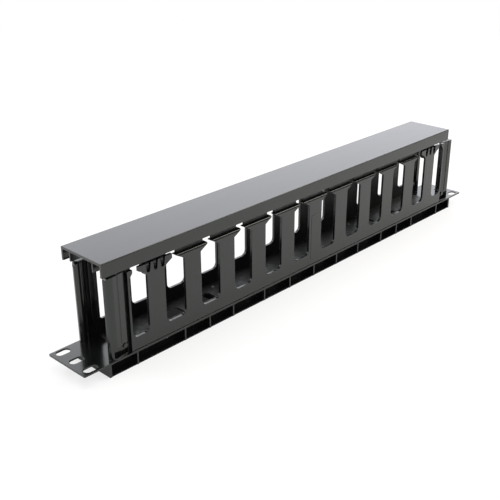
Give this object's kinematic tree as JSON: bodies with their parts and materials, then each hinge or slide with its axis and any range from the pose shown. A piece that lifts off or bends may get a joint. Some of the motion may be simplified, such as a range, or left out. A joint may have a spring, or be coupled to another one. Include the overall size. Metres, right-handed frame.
{
  "type": "horizontal cable manager",
  "caption": "One-unit horizontal cable manager for a nineteen-inch rack: slotted duct with T-shaped fingers, rack ears and a hinged snap cover.",
  "frame": {"origin": "middle of the box around the part, at the bottom of the base ribs, with the cover closed", "axes": "+X along the rack width; +Y across the one-unit height of the panel, so the finger wall at -Y is one long side; +Z away from the rack rails, towards the cover"},
  "size_m": [0.4826, 0.0444, 0.0874],
  "materials": {
    "finger_duct_body": "black moulded ABS, semi-gloss",
    "snap_cover": "black moulded ABS, semi-gloss"
  },
  "bodies": {
    "duct": {"finger_duct_body": "finger_duct_body"},
    "cover": {"snap_cover": "snap_cover"}
  },
  "joints": [
    {"name": "cover_hinge", "type": "hinge", "parent": "duct", "child": "cover", "pos_m": [0, 0.0175, 0.073], "axis": [-1, 0, 0], "range_deg": [0, 97]}
  ]
}
